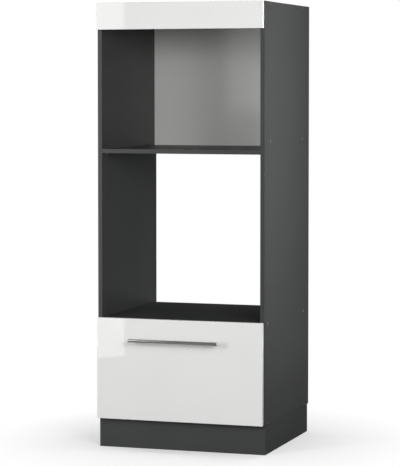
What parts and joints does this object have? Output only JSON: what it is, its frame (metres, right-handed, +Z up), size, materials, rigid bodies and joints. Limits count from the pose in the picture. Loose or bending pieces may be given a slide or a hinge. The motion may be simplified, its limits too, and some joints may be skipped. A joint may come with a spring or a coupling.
{
  "type": "built-in microwave and oven cabinet",
  "caption": "Tall kitchen housing: a microwave niche with a back panel above an open oven niche, with a white fascia on top and a deep drawer on roller runners below.",
  "frame": {"origin": "on the floor, under the middle of the cabinet with its fronts and handle", "axes": "+Z up, -Y the way the fronts face and the drawer opens, +X to the right seen from the front"},
  "size_m": [0.6, 0.6176, 1.537],
  "materials": {
    "anthracite_board": "chipboard with matt anthracite melamine faces and edges",
    "white_gloss_front": "fibreboard wrapped in white high-gloss foil",
    "grey_hardboard": "thin hardboard with a light-grey lacquered face",
    "grey_drawer_board": "chipboard with light-grey melamine faces",
    "zinc_steel": "bright zinc plating",
    "handle_steel": "polished steel",
    "runner_enamel": "white epoxy powder coat",
    "roller_nylon": "natural nylon",
    "cap_plastic": "light-grey moulded plastic",
    "bumper_rubber": "translucent soft plastic"
  },
  "bodies": {
    "carcass": {"side_panel_left": "anthracite_board", "side_panel_right": "anthracite_board", "top_board": "anthracite_board", "microwave_shelf": "anthracite_board", "oven_floor_board": "anthracite_board", "bottom_board": "anthracite_board", "upper_back_panel": "grey_hardboard", "lower_back_panel": "grey_hardboard", "plinth_front": "anthracite_board", "plinth_rear": "anthracite_board", "plinth_side_left": "anthracite_board", "plinth_side_right": "anthracite_board", "fascia_panel": "white_gloss_front", "fascia_bracket_left": "zinc_steel", "fascia_bracket_right": "zinc_steel", "top_screw_left_front": "zinc_steel", "top_screw_left_rear": "zinc_steel", "top_screw_right_front": "zinc_steel", "top_screw_right_rear": "zinc_steel", "oven_floor_screw_left_front": "zinc_steel", "oven_floor_screw_left_rear": "zinc_steel", "oven_floor_screw_right_front": "zinc_steel", "oven_floor_screw_right_rear": "zinc_steel", "bottom_screw_left_front": "zinc_steel", "bottom_screw_left_rear": "zinc_steel", "bottom_screw_right_front": "zinc_steel", "bottom_screw_right_rear": "zinc_steel", "shelf_pin_left_front": "zinc_steel", "shelf_pin_left_rear": "zinc_steel", "shelf_pin_right_front": "zinc_steel", "shelf_pin_right_rear": "zinc_steel", "shelf_hole_cap_left_front": "cap_plastic", "shelf_hole_cap_left_rear": "cap_plastic", "shelf_hole_cap_right_front": "cap_plastic", "shelf_hole_cap_right_rear": "cap_plastic", "cabinet_runner_left": "runner_enamel", "cabinet_runner_right": "runner_enamel", "cabinet_roller_rivet_left": "zinc_steel", "cabinet_roller_rivet_right": "zinc_steel"},
    "drawer": {"drawer_front": "white_gloss_front", "drawer_side_left": "grey_drawer_board", "drawer_side_right": "grey_drawer_board", "drawer_back": "grey_drawer_board", "drawer_bottom": "grey_hardboard", "drawer_bumper_left": "bumper_rubber", "drawer_bumper_right": "bumper_rubber", "handle_bar": "handle_steel", "handle_post_left": "handle_steel", "handle_post_right": "handle_steel", "handle_screw_left": "zinc_steel", "handle_screw_right": "zinc_steel", "drawer_runner_left": "runner_enamel", "drawer_runner_right": "runner_enamel", "drawer_roller_rivet_left": "zinc_steel", "drawer_roller_rivet_right": "zinc_steel"},
    "cabinet_roller_left": {"cabinet_roller_left": "roller_nylon"},
    "cabinet_roller_right": {"cabinet_roller_right": "roller_nylon"},
    "drawer_roller_left": {"drawer_roller_left": "roller_nylon"},
    "drawer_roller_right": {"drawer_roller_right": "roller_nylon"}
  },
  "joints": [
    {"name": "drawer_slide", "type": "slide", "parent": "carcass", "child": "drawer", "axis": [0, -1, 0], "range_m": [0, 0.375]},
    {"name": "cabinet_roller_left_turn", "type": "hinge", "parent": "carcass", "child": "cabinet_roller_left", "pos_m": [-0.2795, -0.23325, 0.13975], "axis": [1, 0, 0], "continuous": true},
    {"name": "cabinet_roller_right_turn", "type": "hinge", "parent": "carcass", "child": "cabinet_roller_right", "pos_m": [0.2795, -0.23325, 0.13975], "axis": [1, 0, 0], "continuous": true},
    {"name": "drawer_roller_left_turn", "type": "hinge", "parent": "drawer", "child": "drawer_roller_left", "pos_m": [-0.27875, 0.23475, 0.13775], "axis": [1, 0, 0], "continuous": true},
    {"name": "drawer_roller_right_turn", "type": "hinge", "parent": "drawer", "child": "drawer_roller_right", "pos_m": [0.27875, 0.23475, 0.13775], "axis": [1, 0, 0], "continuous": true}
  ],
  "couplings": [
    {"joint": "cabinet_roller_left_turn", "follows": "drawer_slide", "rad_per_m": 90.909},
    {"joint": "cabinet_roller_right_turn", "follows": "drawer_slide", "rad_per_m": 90.909},
    {"joint": "drawer_roller_left_turn", "follows": "drawer_slide", "rad_per_m": 90.909},
    {"joint": "drawer_roller_right_turn", "follows": "drawer_slide", "rad_per_m": 90.909}
  ]
}
